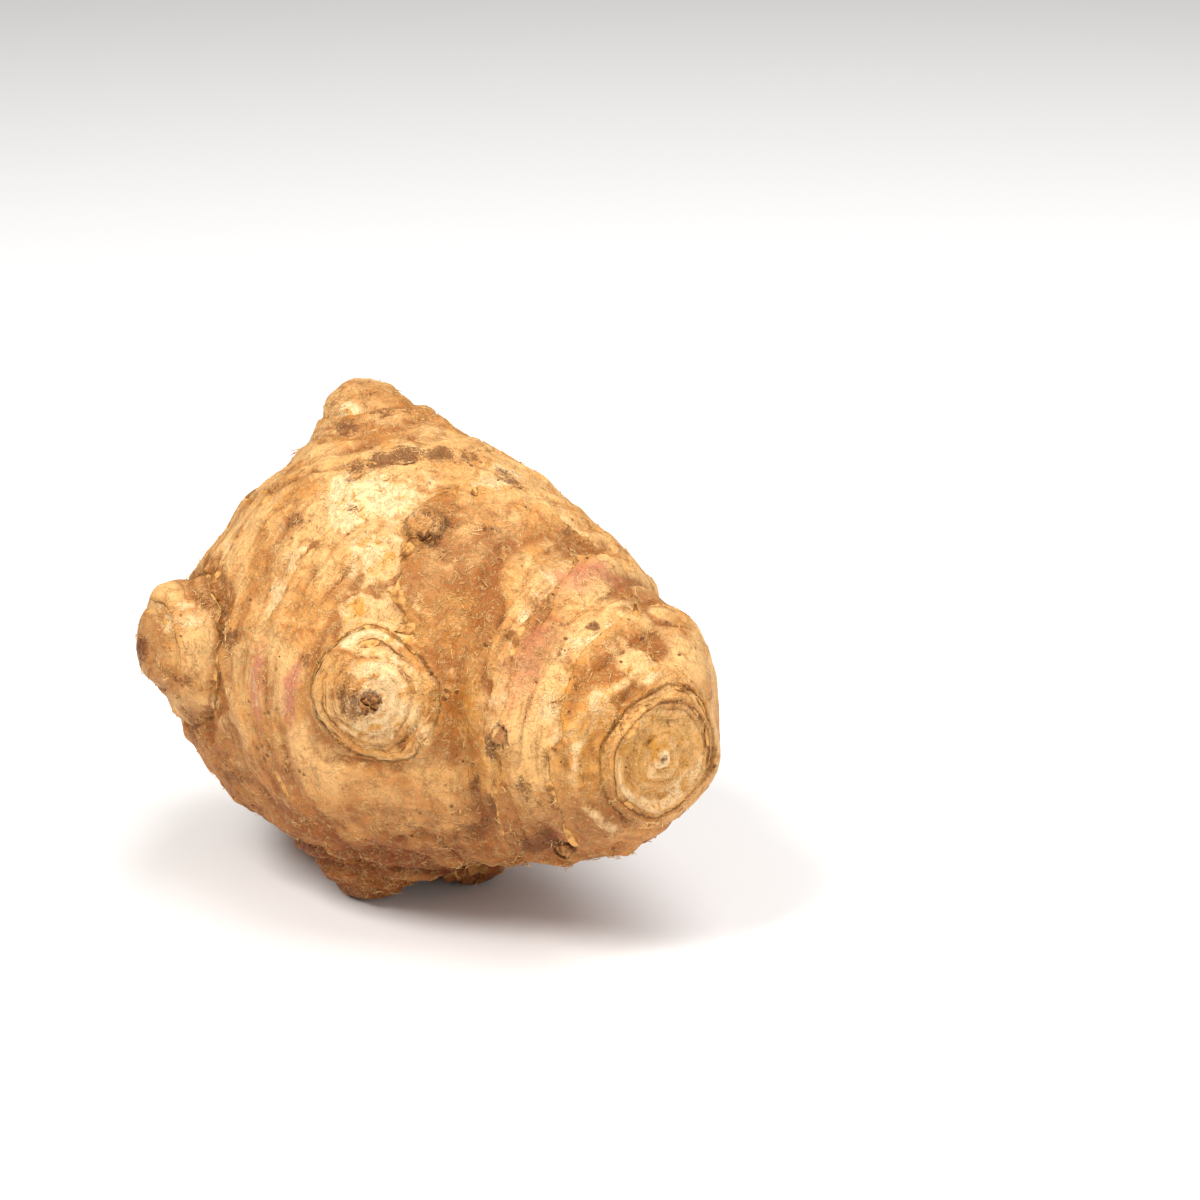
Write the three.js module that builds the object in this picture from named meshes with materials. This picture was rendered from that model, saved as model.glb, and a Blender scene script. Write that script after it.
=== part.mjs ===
// A Jerusalem artichoke, the tuber on the underground stem of Helianthus tuberosus.
// Millimetres, +Z up.
// It grew as one piece, so it is one solid: a stout stem with knobs, buds and a scar where it left
// its runner.
// +X runs along the stem to the runner scar. The tuber lies on three worn spots at Z = 0.
import * as THREE from "three";
import { mergeVertices } from "three/addons/utils/BufferGeometryUtils.js";

// Driving dimensions
const SKIN_COLOUR = 0xc9935c;
const SKIN_ROUGHNESS = 0.7;
const FACET_DETAIL = 19; // the ball of rays has 20 * (FACET_DETAIL + 1)^2 triangles
const RAY_START = 90; // longer than the tuber's furthest knob from its heart
const RAY_STEPS = 60;
const CLOSE_ENOUGH = 1e-4;
const REST_WEAR = 0.7; // how deep the spots that it rests on are pressed flat

// The stem's swellings and knobs are round cones: a ball at each end and the cone that touches both.
// from and to are the balls' centres about the tuber's heart; blend is the width of the crease
// where the swelling meets the rest.
const swelling = (from, fromRadius, to, toRadius, blend) => ({
  from: new THREE.Vector3(...from),
  to: new THREE.Vector3(...to),
  fromRadius,
  toRadius,
  blend,
});

const STEM = {
  middle: swelling([-1, -1, 1], 25.3, [-1, -1, 1.5], 25, 1),
  low_side: swelling([-11, -6, -6.6], 24, [-2, -5, -8.6], 24.5, 6),
  scar_end: swelling([12, -3, -5.5], 23.3, [30.3, 0, -4.8], 18.3, 8),
  growing_end: swelling([-12, 1, 2], 17.6, [-24, 3, 2], 12.7, 8),
  shoulder: swelling([8, 8, 0], 14, [15, 13, 2], 9.5, 8),
  belly: swelling([1, -7, -3], 22.5, [-3, -7, -3], 22.5, 6),
};

const KNOBS = {
  crown_knob: swelling([-7, -1, 15], 9.5, [-15, 3, 25], 5.2, 5),
  side_knob: swelling([-11, -16, -4], 11, [-18.4, -25, -1.4], 7.8, 2.5),
  front_bud: swelling([6.5, -14, -0.5], 13, [14.4, -24, 2.4], 5.6, 4),
  foot: swelling([0, -8, -20], 10, [1, -12, -30.4], 6.2, 3.5),
  heel: swelling([7, 0, -21], 10, [8.4, 0.4, -31.2], 5.4, 4),
  back_foot: swelling([-11, 5, -10], 17, [-17, 11, -28], 8.8, 7),
  back_bud: swelling([-6, 8, 0], 15, [-16, 20, 6], 6.5, 5),
};

const smoothUnion = (a, b, width) => {
  const overlap = Math.max(width - Math.abs(a - b), 0) / width;
  return Math.min(a, b) - (overlap * overlap * width) / 4;
};

// The signed distance from a point to a round cone.
function distanceToSwelling(point, { from, to, fromRadius, toRadius }) {
  const axis = to.clone().sub(from);
  const length2 = axis.lengthSq();
  const taper = fromRadius - toRadius;
  const slant2 = length2 - taper * taper;
  const offset = point.clone().sub(from);
  const along = offset.dot(axis);
  const beyond = along - length2;
  const across2 = offset.multiplyScalar(length2).addScaledVector(axis, -along).lengthSq();
  const side = Math.sign(taper) * taper * taper * across2;
  if (Math.sign(beyond) * slant2 * beyond * beyond * length2 > side) {
    return Math.sqrt(across2 + beyond * beyond * length2) / length2 - toRadius;
  }
  if (Math.sign(along) * slant2 * along * along * length2 < side) {
    return Math.sqrt(across2 + along * along * length2) / length2 - fromRadius;
  }
  return (Math.sqrt((across2 * slant2) / length2) + (along * taper)) / length2 - fromRadius;
}

function distanceToTuber(point) {
  let nearest = Infinity;
  for (const part of Object.values({ ...STEM, ...KNOBS })) {
    const distance = distanceToSwelling(point, part);
    nearest = nearest === Infinity ? distance : smoothUnion(nearest, distance, part.blend);
  }
  return nearest;
}

// Walks in along a ray towards the heart until it meets the skin.
function skinPoint(direction) {
  const point = direction.clone().multiplyScalar(RAY_START);
  for (let step = 0; step < RAY_STEPS; step++) {
    const gap = distanceToTuber(point);
    if (gap < CLOSE_ENOUGH) break;
    point.addScaledVector(direction, -gap);
  }
  return point;
}

function tuberGeometry() {
  const ball = new THREE.IcosahedronGeometry(1, FACET_DETAIL);
  ball.deleteAttribute("normal");
  ball.deleteAttribute("uv");
  const geometry = mergeVertices(ball);
  const positions = geometry.getAttribute("position");
  const direction = new THREE.Vector3();
  for (let i = 0; i < positions.count; i++) {
    direction.fromBufferAttribute(positions, i).normalize();
    positions.setXYZ(i, ...skinPoint(direction));
  }
  geometry.computeBoundingBox();
  const { min, max } = geometry.boundingBox;
  const floor = min.z + REST_WEAR;
  for (let i = 0; i < positions.count; i++) {
    positions.setZ(i, Math.max(positions.getZ(i), floor));
  }
  // The origin is where the middle of the tuber's outline stands on the floor.
  geometry.translate(-(min.x + max.x) / 2, -(min.y + max.y) / 2, -floor);
  geometry.computeVertexNormals();
  return geometry;
}

const skin = new THREE.MeshStandardMaterial({
  color: SKIN_COLOUR,
  roughness: SKIN_ROUGHNESS,
  metalness: 0,
});

const tuber = new THREE.Mesh(tuberGeometry(), skin);
tuber.name = "tuber";

const jerusalemArtichoke = new THREE.Group();
jerusalemArtichoke.add(tuber);

export default jerusalemArtichoke;
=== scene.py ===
import math
from collections import namedtuple

import bmesh
import bpy
import numpy as np
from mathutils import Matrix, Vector


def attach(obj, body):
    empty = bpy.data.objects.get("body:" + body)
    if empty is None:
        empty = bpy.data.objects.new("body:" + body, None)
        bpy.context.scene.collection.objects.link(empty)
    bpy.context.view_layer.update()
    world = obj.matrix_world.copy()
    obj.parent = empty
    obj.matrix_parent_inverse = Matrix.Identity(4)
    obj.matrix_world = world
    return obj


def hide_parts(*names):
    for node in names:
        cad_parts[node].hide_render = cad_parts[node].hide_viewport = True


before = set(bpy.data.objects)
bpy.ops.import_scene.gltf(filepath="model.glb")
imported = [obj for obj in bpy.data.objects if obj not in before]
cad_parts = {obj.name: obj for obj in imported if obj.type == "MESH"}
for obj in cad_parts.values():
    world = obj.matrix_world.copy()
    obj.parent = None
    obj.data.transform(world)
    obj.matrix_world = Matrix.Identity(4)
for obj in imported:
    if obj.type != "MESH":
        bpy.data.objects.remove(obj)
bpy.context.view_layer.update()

bl_info = {
    "name": "Jerusalem artichoke",
    "version": (1, 0, 0),
    "blender": (4, 5, 0),
    "location": "View3D > Sidebar > Artichoke",
    "description": "A knobbly ringed tuber with its torn papery skin, root hairs and soil",
    "category": "Object",
}

MM = 0.001
NODE = "tuber"

# Places on the tuber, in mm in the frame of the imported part: +X along the stem to the runner scar.
# Where a small feature's centre is a little off the skin, it is moved to the nearest skin.
MIDDLE_Z = 33.0
RUNNER_SCAR = (42.4, -0.6, 30.8)

Ring = namedtuple("Ring", "at lean_y lean_z lift bare floor_z roof_z")
Bud = namedtuple("Bud", "centre swell spread rings lift tip tip_dark")
Patch = namedtuple("Patch", "centre reach strength")
Tip = namedtuple("Tip", "foot way length width")

# Leaf scars right round the stem. at is where the scar's plane crosses the stem's middle, and it
# leans over by lean_y and lean_z. lift is how far the free edge of the skin stands up, bare is how
# wide the bare band beyond it is, and the scar fades out below floor_z and above roof_z.
LEAF_SCARS = [
    Ring(6.0, 0.392, -0.133, 0.45, 3.4, 4, 58),
    Ring(3.9, 0.392, -0.133, 0.16, 1.0, 22, 44),
    Ring(28.7, 0.207, -0.889, 0.80, 7.5, 41, 90),
    Ring(22.15, -0.336, 0.064, 0.85, 3.6, -9, 90),
    Ring(33.0, -0.053, -0.034, 0.42, 2.6, 8, 56),
    Ring(-15.0, 0.25, 0.05, 0.34, 3.0, -9, 90),
    Ring(-27.0, 0.10, -0.10, 0.40, 2.6, -9, 90),
]

# Buds, knob ends and small eyes. swell and spread are the height and width of the mound, rings are
# the radii of its scale edges, lift is how far they stand up, and tip is the dark point's radius.
FRONT_BUD = Bud((13.4, -24.3, 38.3), 2.6, 4.8, (1.9, 3.3, 4.9, 6.6, 8.5), 0.42, 1.3, 0.9)
CROWN = Bud((-20.8, 6.5, 66.0), 0.0, 1.0, (7.2, 11.8, 21.3), 0.55, 1.4, 0.7)
SIDE_KNOB = Bud((-26.5, -29.0, 36.0), 0.3, 2.0, (6.4, 13.6), 0.50, 2.2, 0.8)
FOOT = Bud((-4.7, -8.9, 0.0), 0.0, 1.0, (6.2, 7.6, 9.6, 11.6, 14.6), 0.46, 0.0, 0.0)
HEEL = Bud((2.9, 3.6, 0.0), 0.0, 1.0, (5.2, 7.6), 0.28, 0.0, 0.0)
BACK_FOOT = Bud((-22.7, 14.1, 0.0), 0.0, 1.0, (6.5, 10.5, 15.5), 0.30, 0.0, 0.0)
BACK_BUD = Bud((-25.6, 27.8, 44.4), 0.8, 2.6, (1.4, 2.9, 4.4), 0.20, 1.1, 0.9)
GROWING_TIP = Bud((-42.4, 6.1, 38.1), 1.8, 4.2, (2.0, 4.6, 8.4), 0.22, 0.9, 0.7)
DARK_BUD = Bud((7.7, -9.0, 56.1), 3.6, 1.9, (1.3, 2.6), 0.34, 0.9, 0.95)
PINK_BUD = Bud((28.1, -15.0, 34.6), 2.2, 1.5, (1.2,), 0.2, 0.5, 0.8)
SPUR = Bud((33.3, -12.7, 33.9), 0.9, 0.7, (), 0.0, 0.0, 0.0)
PURPLE_BUD = Bud((31.9, -7.7, 18.0), 1.6, 2.2, (1.4,), 0.24, 1.3, 0.9)
WART = Bud((16.4, -4.5, 52.5), 0.6, 0.8, (), 0.0, 0.5, 0.8)
CREAM_EYE = Bud((38.2, -0.9, 42.9), 1.1, 2.8, (), 0.0, 0.0, 0.0)
PIT = Bud((31.9, -2.7, 47.0), -0.5, 0.6, (), 0.0, 0.45, 1.0)
BACK_EYE = Bud((8.0, 27.0, 30.0), 1.3, 1.8, (1.1, 2.4), 0.22, 0.7, 0.9)
LOW_EYE = Bud((26.0, 13.0, 16.0), 1.1, 1.7, (1.0, 2.2), 0.22, 0.7, 0.9)
END_EYE = Bud((-36.0, -6.0, 28.0), 1.2, 1.8, (1.1, 2.3), 0.22, 0.7, 0.9)
BUDS = [
    FRONT_BUD, CROWN, SIDE_KNOB, FOOT, HEEL, BACK_FOOT, BACK_BUD, GROWING_TIP, DARK_BUD, PINK_BUD,
    SPUR, PURPLE_BUD, WART, CREAM_EYE, PIT, BACK_EYE, LOW_EYE, END_EYE,
]

# Broad swellings of the body: the shoulder behind the crown, and the one above the side knob.
SHOULDERS = [
    Bud((-15.0, 12.0, 61.0), 2.0, 6.0, (), 0.0, 0.0, 0.0),
    Bud((-27.0, -24.0, 41.0), 1.4, 4.5, (), 0.0, 0.0, 0.0),
]

# Furrows where a knob or a bud's mound leaves the body: its middle, how far out, how wide and deep.
NECKS = [
    (SIDE_KNOB.centre, 13.8, 1.5, 1.3),
    (CROWN.centre, 16.0, 2.2, 0.5),
    (FOOT.centre, 14.2, 1.8, 1.1),
    (HEEL.centre, 7.6, 1.4, 0.6),
    (BACK_FOOT.centre, 15.0, 2.0, 0.8),
    (FRONT_BUD.centre, 10.2, 1.4, 0.4),
    (GROWING_TIP.centre, 12.0, 2.0, 0.5),
]

# The round scar where the runner broke off: radii of its rings, from the dark dot to the outer lip.
SCAR_RINGS = (1.6, 3.6, 5.4, 7.0)
SCAR_LIP = 7.0
SCAR_COLLAR = 9.0
SCAR_CREST = 11.6

# The furrow beside the front bud's mound: its place along the stem, and its height there.
GROOVE_X = 21.8
GROOVE_Z = 36.0

# How the scars and folds round the stem lean at places along it: x, then the lean over y and z.
FOLD_X = (-30.0, 6.0, 22.0, 33.0, 42.0)
FOLD_LEAN_Y = (0.10, 0.39, -0.34, -0.05, 0.0)
FOLD_LEAN_Z = (-0.10, -0.13, 0.06, -0.03, 0.0)

# Pointed tips of torn skin: where each is rooted, which way it points, and its length and width.
# TIP_ROOT is how long its root is, in mm, and ROOTED is how deep it and the bud scales start.
TORN_TIPS = [
    Tip((9.2, -11.6, 54.8), (-0.9, -0.5, -0.7), 3.4, 3.6),
    Tip((11.6, -16.2, 48.9), (-1.0, -0.4, -0.1), 3.2, 4.2),
    Tip((14.2, -17.4, 46.4), (-0.9, -0.4, -0.5), 2.8, 3.4),
    Tip((25.6, -10.6, 46.6), (-1.0, -0.3, -0.2), 2.0, 3.0),
    Tip((34.2, 3.6, 47.0), (-1.0, -0.2, 0.1), 1.8, 3.0),
    Tip((33.6, -10.4, 39.6), (-0.6, -0.5, -0.4), 1.5, 2.0),
    Tip((34.4, -12.0, 33.6), (-0.3, -0.4, 0.6), 1.8, 1.8),
    Tip((4.0, 22.0, 47.0), (-1.0, 0.2, -0.2), 2.4, 3.0),
]
TIP_ROOT = 0.8
ROOTED = 0.25 * MM

# Scales on the point of a bud: how many, and the turn from one to the next.
SCALES = 10
GOLDEN_ANGLE = 2.4

# A free edge of skin in section, in mm: half the width of its step, how far behind it the raised
# skin sinks back and its tint fades, how much further off the faintest edge counts as than a clear
# one, and the place and width of the hollow under it.
STEP = 0.16
SINKS_BACK = 3.2
TINT_FADES = 4.5
FAINTNESS = 6.0
HOLLOW_AT = 0.4
HOLLOW_WIDTH = 0.45

# Heights in mm between which the skin goes from the plain resting shape to its full relief.
RESTING_BAND = (0.2, 2.0)

# Skin that has been rubbed or peeled off to the cream flesh below.
BARE_PATCHES = [
    Patch((-0.6, -10.6, 58.1), (7.6, 7.5, 5), 1.1),
    Patch((4.8, -15.6, 54.0), (5.0, 4.0, 4.5), 0.9),
    Patch((9.8, -19.6, 46.6), (5.5, 5.5, 5.0), 1.9),
    Patch((6.2, -15.8, 52.3), (3.0, 4.2, 4.6), 1.4),
    Patch((27.6, -15.4, 35.6), (1.3, 1.3, 1.6), 1.0),
    Patch((35.5, -2.5, 45.5), (4.0, 5.0, 3.5), 0.8),
    Patch((32.0, 5.5, 48.5), (4.0, 5.0, 3.0), 0.55),
    Patch((-19.0, 0.5, 64.0), (4.4, 4.4, 3.2), 0.8),
    Patch((-22.5, -27.0, 40.5), (3.0, 3.0, 3.0), 0.6),
    Patch((15.0, -22.9, 37.2), (6.0, 6.0, 6.5), 1.25),
    Patch((20.0, -17.5, 40.0), (3.6, 4, 8), 0.45),
    Patch((-20.5, -26.1, 40.5), (3, 3, 2.6), 0.9),
    Patch((36.5, -7.0, 35.0), (4.5, 7, 9), 0.6),
    Patch((38.2, -0.9, 42.7), (4, 4, 4.5), 1.2),
    Patch((30.0, -9.5, 16.0), (2.4, 2.4, 1.8), 0.9),
    Patch((8.5, -0.5, 4.0), (3, 3, 2.2), 0.9),
    Patch((-30.0, 14.0, 50.0), (6, 7, 5), 0.7),
    Patch((12.0, 26.0, 36.0), (5, 5, 8), 0.6),
]
GOLDEN_PATCHES = [
    Patch((36.5, -7.0, 32.0), (6.5, 12, 14), 0.95),
    Patch((20.5, -17.0, 37.0), (5.5, 6, 12), 0.95),
    Patch((25.0, -15.0, 30.0), (5.0, 5, 9), 0.8),
    Patch((18.0, -14.0, 46.0), (6.0, 7, 7), 0.7),
    Patch((30.0, 18.0, 30.0), (7, 8, 14), 0.6),
    Patch((-30.0, 10.0, 40.0), (8, 12, 12), 0.5),
]
# Weathered brown skin, and painted shade over the lower part of the tuber.
WEATHERED_AND_SHADED_PATCHES = [
    Patch((-18.0, 3.0, 63.0), (8, 8, 6), 0.7),
    Patch((-25.0, -28.0, 35.0), (6, 7, 9), 0.8),
    Patch((2.0, -16.0, 9.0), (14, 12, 9), 1.0),
    Patch((0.0, 0.0, 6.0), (56, 44, 22), 0.95),
    Patch((28.0, -10.0, 20.0), (16, 12, 9), 0.9),
    Patch((-16.0, -24.0, 24.0), (10, 8, 13), 0.8),
    Patch((19.6, -19.0, 34.0), (3.6, 5.0, 9.0), 0.9),
    Patch((28.0, -9.0, 44.6), (3.5, 6.0, 5.0), 0.75),
    Patch((-14.0, -26.0, 34.0), (8, 6, 6), 0.4),
    Patch((36.0, -8.0, 23.5), (8.0, 10.0, 7.0), 0.85),
    Patch((-36.0, 6.0, 36.0), (9, 12, 14), 0.5),
    Patch((-18.0, 24.0, 34.0), (10, 8, 14), 0.5),
]
BLUSH_PATCHES = [
    Patch((24.7, 2.0, 50.1), (4.0, 6.5, 3), 0.95),
    Patch((-5.3, -27.5, 36.0), (1.8, 3, 9), 1.1),
    Patch((1.6, -27.0, 36.0), (1.5, 3, 7), 1.0),
    Patch((29.0, -10.0, 46.0), (3, 5, 3.5), 0.6),
    Patch((29.0, -12.0, 42.0), (3, 6, 6), 0.45),
    Patch((31.9, -7.7, 18.6), (3.2, 3.2, 2.4), 0.6),
    Patch((28.1, -15.0, 35.2), (1.8, 2, 1.8), 0.4),
    Patch((-12.0, 24.0, 30.0), (3, 5, 9), 0.7),
]
TORN_PATCHES = [
    Patch((9.0, -18.2, 48.6), (4.0, 4.0, 5.0), 1.5),
    Patch((7.0, -11.5, 54.8), (3.6, 4.5, 4.0), 1.5),
    Patch((20.5, 8.0, 50.3), (4.0, 8.0, 3.0), 0.6),
    Patch((36.0, 6.0, 46.0), (5.0, 6.0, 4.0), 0.6),
    Patch((-20.0, -20.0, 45.0), (5.0, 6.0, 6.0), 0.7),
    Patch((24.0, -16.0, 22.0), (6.0, 5.0, 6.0), 0.9),
]
SOIL_PATCHES = [
    Patch((-6.5, -8.0, 60.0), (3.0, 3.0, 2.2), 0.8),
    Patch((-4.6, -5.4, 61.0), (3.0, 3.0, 2.2), 1.0),
    Patch((-2.7, -2.2, 61.6), (3.2, 3.2, 2.2), 1.1),
    Patch((-0.6, 1.4, 61.9), (3.2, 3.2, 2.2), 1.0),
    Patch((1.6, 4.6, 61.5), (2.8, 2.8, 1.8), 0.8),
    Patch((-22.0, 1.5, 64.5), (2.0, 2.2, 2.0), 0.8),
    Patch((-12.5, 6.5, 64.0), (2.2, 3.0, 2.0), 0.8),
    Patch((8.6, -7.0, 56.4), (3.6, 3.6, 3.0), 0.75),
    Patch((5.9, 7.5, 58.7), (3.5, 3.0, 2.5), 0.8),
    Patch((14.6, 9.8, 52.7), (4.2, 3.0, 2.5), 0.75),
    Patch((-8.7, -16.7, 54.8), (2.6, 1.5, 1.8), 0.85),
    Patch((-2.2, -13.0, 57.4), (1.0, 0.7, 0.9), 1.0),
    Patch((-13.9, 3.2, 63.6), (2.8, 2.6, 2.2), 0.85),
    Patch((-19.0, 0.6, 64.6), (2.0, 1.6, 1.6), 0.6),
    Patch((-28.0, -28.0, 35.0), (2.8, 4.5, 4.6), 1.0),
    Patch((9.6, -9.4, 54.4), (3.0, 1.8, 2.2), 0.7),
    Patch((-20.3, -28.1, 33.0), (2.4, 2.4, 1.6), 0.6),
    Patch((3.0, -26.0, 41.0), (1.0, 1.5, 1.8), 0.9),
    Patch((11.0, -25.6, 38.8), (2.8, 2.8, 3.8), 0.8),
    Patch((12.8, -25.6, 38.2), (3.6, 3.6, 3.6), 0.95),
    Patch((7.7, -9.0, 57.5), (2.8, 2.8, 3.4), 0.45),
    Patch((-11.8, -26.6, 40.1), (2.2, 2.4, 2.4), 0.8),
    Patch((22.0, -9.7, 47.1), (1.2, 1.8, 2.4), 0.7),
    Patch((30.0, -10.0, 17.5), (7.0, 5.0, 3.2), 1.0),
    Patch((22.0, -14.5, 18.5), (6.0, 4.0, 3.0), 0.75),
    Patch((25.5, -14.5, 24.0), (1.4, 3.0, 4.5), 0.9),
    Patch((27.2, -15.2, 33.0), (1.8, 2.6, 2.6), 0.9),
    Patch((14.0, -18.5, 19.0), (7.0, 4.0, 3.0), 0.55),
    Patch((-15.0, -26.0, 22.0), (6.0, 5.0, 9.0), 0.55),
    Patch((30.5, -13.0, 29.0), (1.6, 3.0, 4.0), 0.95),
    Patch((24.0, -15.5, 27.0), (1.2, 2.5, 3.5), 0.85),
    Patch((-20.0, -24.0, 27.0), (3.0, 4.0, 6.0), 0.8),
    Patch((-17.0, 3.0, 66.0), (3.2, 3.6, 2.4), 0.95),
    Patch((-15.5, -1.0, 62.0), (3.0, 2.4, 2.0), 0.85),
    Patch((33.5, -11.5, 27.0), (1.2, 3, 3.5), 0.7),
    Patch((2.0, -15.0, 8.0), (6.0, 5.0, 3.0), 0.5),
    Patch((-12.0, 0.0, 3.0), (16, 12, 5.0), 0.45),
    Patch((-24.0, 22.0, 30.0), (6, 5, 9), 0.55),
    Patch((20.0, 22.0, 30.0), (5, 5, 9), 0.5),
]


def colour_of(hex_code):
    """A linear colour from the web colour that a maker reads off a paint card."""
    parts = [int(hex_code[i:i + 2], 16) / 255 for i in (0, 2, 4)]
    return (*(p / 12.92 if p < 0.04045 else ((p + 0.055) / 1.055) ** 2.4 for p in parts), 1.0)


# ---------------------------------------------------------------- shape

def smoothstep(low, high, value):
    """0 below low, 1 above high, and a soft rise between them."""
    t = np.clip((value - low) / (high - low), 0, 1)
    return t * t * (3 - 2 * t)


def bell(value, width):
    """1 where the value is zero, fading out over about the width on both sides."""
    return np.exp(-((value / width) ** 2))


def lattice(x, y, z, seed):
    """A repeatable number from 0 to 1 for each corner of a lattice, from bits stirred by odd factors."""
    h = x * np.uint32(374761393) + y * np.uint32(668265263) + z * np.uint32(2246822519)
    h = h + np.uint32(seed * 974711 + 31)
    h = (h ^ (h >> np.uint32(15))) * np.uint32(2246822519)
    h = (h ^ (h >> np.uint32(13))) * np.uint32(3266489917)
    h = h ^ (h >> np.uint32(16))
    return h.astype(float) / 0xFFFFFFFF


def noise(points, size, seed):
    """Smooth noise from -1 to 1, with lumps about size mm across. The seed picks the pattern."""
    cell = points / np.array(size) + 100 + seed * 0.37
    base = np.floor(cell)
    t = cell - base
    t = t * t * t * (t * (t * 6 - 15) + 10)
    corner = base.astype(np.int64).astype(np.uint32)
    total = np.zeros(len(points))
    for dx in (0, 1):
        for dy in (0, 1):
            for dz in (0, 1):
                weight = (t[:, 0] if dx else 1 - t[:, 0]) * (t[:, 1] if dy else 1 - t[:, 1])
                weight = weight * (t[:, 2] if dz else 1 - t[:, 2])
                shift = corner + np.array([dx, dy, dz], np.uint32)
                total += weight * lattice(shift[:, 0], shift[:, 1], shift[:, 2], seed)
    return total * 2 - 1


def fractal(points, size, seed, octaves=3):
    """Noise with finer noise on top of it, each layer half as wide and half as high."""
    total = np.zeros(len(points))
    for layer in range(octaves):
        total += noise(points, np.array(size) / 2 ** layer, seed + 7 * layer) / 2 ** layer
    return total


def points_of(mesh):
    """The places of a mesh's points, in metres."""
    places = np.zeros(len(mesh.vertices) * 3)
    mesh.vertices.foreach_get("co", places)
    return places.reshape(-1, 3)


def normals_of(mesh):
    """The ways out of a mesh at its points."""
    ways = np.zeros(len(mesh.vertices) * 3)
    mesh.vertex_normals.foreach_get("vector", ways)
    return ways.reshape(-1, 3)


def smooth_body(grid):
    """An even fine mesh over a smooth copy of the CAD tuber, as points in mm, normals and the mesh."""
    body = bmesh.new()
    body.from_mesh(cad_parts[NODE].data)
    bmesh.ops.remove_doubles(body, verts=body.verts, dist=MM * 0.001)
    mesh = bpy.data.meshes.new("smooth_body")
    body.to_mesh(mesh)
    body.free()
    shape = bpy.data.objects.new("smooth_body", mesh)
    bpy.context.scene.collection.objects.link(shape)
    rounding = shape.modifiers.new("rounding", "SUBSURF")
    rounding.levels = rounding.render_levels = 2
    even = shape.modifiers.new("even", "REMESH")
    even.mode = "VOXEL"
    even.voxel_size = grid
    even.use_smooth_shade = True
    bpy.context.view_layer.update()
    evaluated = shape.evaluated_get(bpy.context.evaluated_depsgraph_get())
    fine = bpy.data.meshes.new_from_object(evaluated)
    bpy.data.objects.remove(shape)
    bpy.data.meshes.remove(mesh)
    return points_of(fine) / MM, normals_of(fine), fine


def skin_distance(points, centre):
    """How far each point is from the point of the skin that is nearest to centre."""
    away = np.linalg.norm(points - np.array(centre), axis=1)
    return np.linalg.norm(points - points[np.argmin(away)], axis=1)


class SkinRelief:
    """Collects the height of every feature over the smooth body, and how it colours the skin."""

    def __init__(self, points, ragged):
        count = len(points)
        self.points = points
        self.height = np.zeros(count)
        # cavity is how far a point rises out of the relief or sinks into it; the shader turns it into
        # painted highlight and painted shade.
        self.cavity = np.zeros(count)
        self.crisp = np.zeros(count)
        self.nearest = np.full(count, 99.0)
        self.second = np.full(count, 99.0)
        self.gap = np.full(count, 1.0)
        self.near = np.zeros(count)
        self.dark = np.zeros(count)
        self.flow = along_stem(points)
        self.inside_bud = np.zeros(count, bool)
        tears = np.maximum(noise(points, 4.0, 14), 0) ** 3 * 2.5
        self.wander = ragged * (fractal(points, 10.0, 11, 2) + 0.22 * fractal(points, 2.2, 12, 2) - tears)
        self.patchy = fractal(points, 7.0, 21)
        self.torn = fractal(points, 3.2, 22, 2)

    def edge(self, gap, lift, bare, strength, wobble=1.0, crisp=1.0):
        """Adds one free edge of skin. gap is the distance past it, in mm, towards the covered side."""
        gap = gap + wobble * self.wander
        covered = np.exp(-np.maximum(gap, 0) / SINKS_BACK)
        rise = smoothstep(-STEP, STEP, gap) * lift * covered
        undercut = 0.45 * lift * bell(gap + HOLLOW_AT, HOLLOW_WIDTH)
        self.height += strength * (rise - undercut) * np.clip(1 + 0.5 * self.torn, 0.3, 1.6)
        width = bare * np.clip(0.75 + 0.6 * self.patchy, 0.15, 1.6)
        reach = bell(gap, np.where(gap < 0, width, TINT_FADES))
        distance = np.abs(gap) + FAINTNESS * (1 - strength)
        closer = distance < self.nearest
        self.second = np.where(closer, self.nearest, np.minimum(self.second, distance))
        self.nearest = np.where(closer, distance, self.nearest)
        self.gap = np.where(closer, np.clip(gap, -1, 1), self.gap)
        self.near = np.where(closer, reach * strength, self.near)
        self.crisp = np.where(closer, crisp, self.crisp)

    def terraces(self, away, radii, height):
        """Rounded steps, one from each ring to the next."""
        inner = 0.0
        for outer in sorted(radii):
            t = np.clip((away - inner) / (outer - inner), 0, 1)
            bulge = (4 * t * (1 - t)) ** 0.7
            self.height += height * bulge
            self.cavity += np.where((t > 0) & (t < 1), 0.9 * bulge - 0.5, 0)
            inner = outer

    def finished_near(self):
        """How strongly the nearest edge colours the skin: nothing where two edges are as near."""
        return self.near * smoothstep(0.0, 0.5, self.second - self.nearest)


def along_stem(points):
    """The distance along the stem that the folds round it follow, in mm."""
    x, y, z = points.T
    lean_y = np.interp(x, FOLD_X, FOLD_LEAN_Y)
    lean_z = np.interp(x, FOLD_X, FOLD_LEAN_Z)
    return x - lean_y * y - lean_z * (z - MIDDLE_Z)


def add_leaf_scars(relief):
    """The scars round the stem, except over the buds, which have scales of their own."""
    x, y, z = relief.points.T
    for ring in LEAF_SCARS:
        plane = x - (ring.at + ring.lean_y * y + ring.lean_z * (z - MIDDLE_Z))
        plane = plane / math.sqrt(1 + ring.lean_y ** 2 + ring.lean_z ** 2)
        strength = smoothstep(ring.floor_z, ring.floor_z + 6, z)
        strength = strength * (1 - smoothstep(ring.roof_z - 6, ring.roof_z, z))
        strength = strength * np.clip(0.8 + 0.5 * relief.patchy, 0, 1) * ~relief.inside_bud
        relief.edge(plane, ring.lift, ring.bare, strength, crisp=0.5)


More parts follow.
